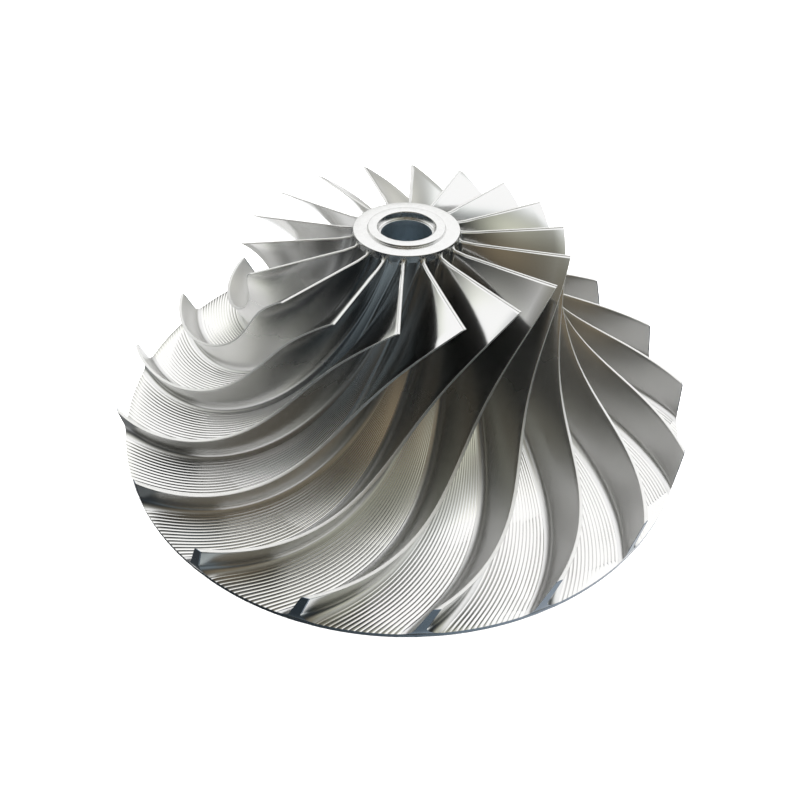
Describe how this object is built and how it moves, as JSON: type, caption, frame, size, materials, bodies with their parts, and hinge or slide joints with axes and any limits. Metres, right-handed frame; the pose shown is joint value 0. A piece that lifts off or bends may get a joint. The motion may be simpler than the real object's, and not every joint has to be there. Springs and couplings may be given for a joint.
{
  "type": "centrifugal impeller",
  "caption": "Open centrifugal compressor impeller: swept full blades on a flared hub and thin back disc, with a raised nose ring and a through bore.",
  "frame": {"origin": "centre of the flat back face, on the shaft axis", "axes": "+Z along the shaft axis from the back disc to the inlet; the picture looks along +Y with +X to the right"},
  "size_m": [0.3, 0.3, 0.1043],
  "materials": {
    "turned_face": "fine-turned bare aluminium",
    "milled_floor": "milled bare aluminium with fine cutter ridges",
    "milled_blade": "smooth flank-milled bare aluminium"
  },
  "bodies": {
    "root": {"nose": "turned_face", "hub": "milled_floor", "hub_foot": "turned_face", "back_disc": "milled_floor", "blade_01": "milled_blade", "blade_02": "milled_blade", "blade_03": "milled_blade", "blade_04": "milled_blade", "blade_05": "milled_blade", "blade_06": "milled_blade", "blade_07": "milled_blade", "blade_08": "milled_blade", "blade_09": "milled_blade", "blade_10": "milled_blade", "blade_11": "milled_blade", "blade_12": "milled_blade", "blade_13": "milled_blade", "blade_14": "milled_blade", "blade_15": "milled_blade", "blade_16": "milled_blade", "blade_17": "milled_blade", "blade_18": "milled_blade"}
  },
  "joints": []
}
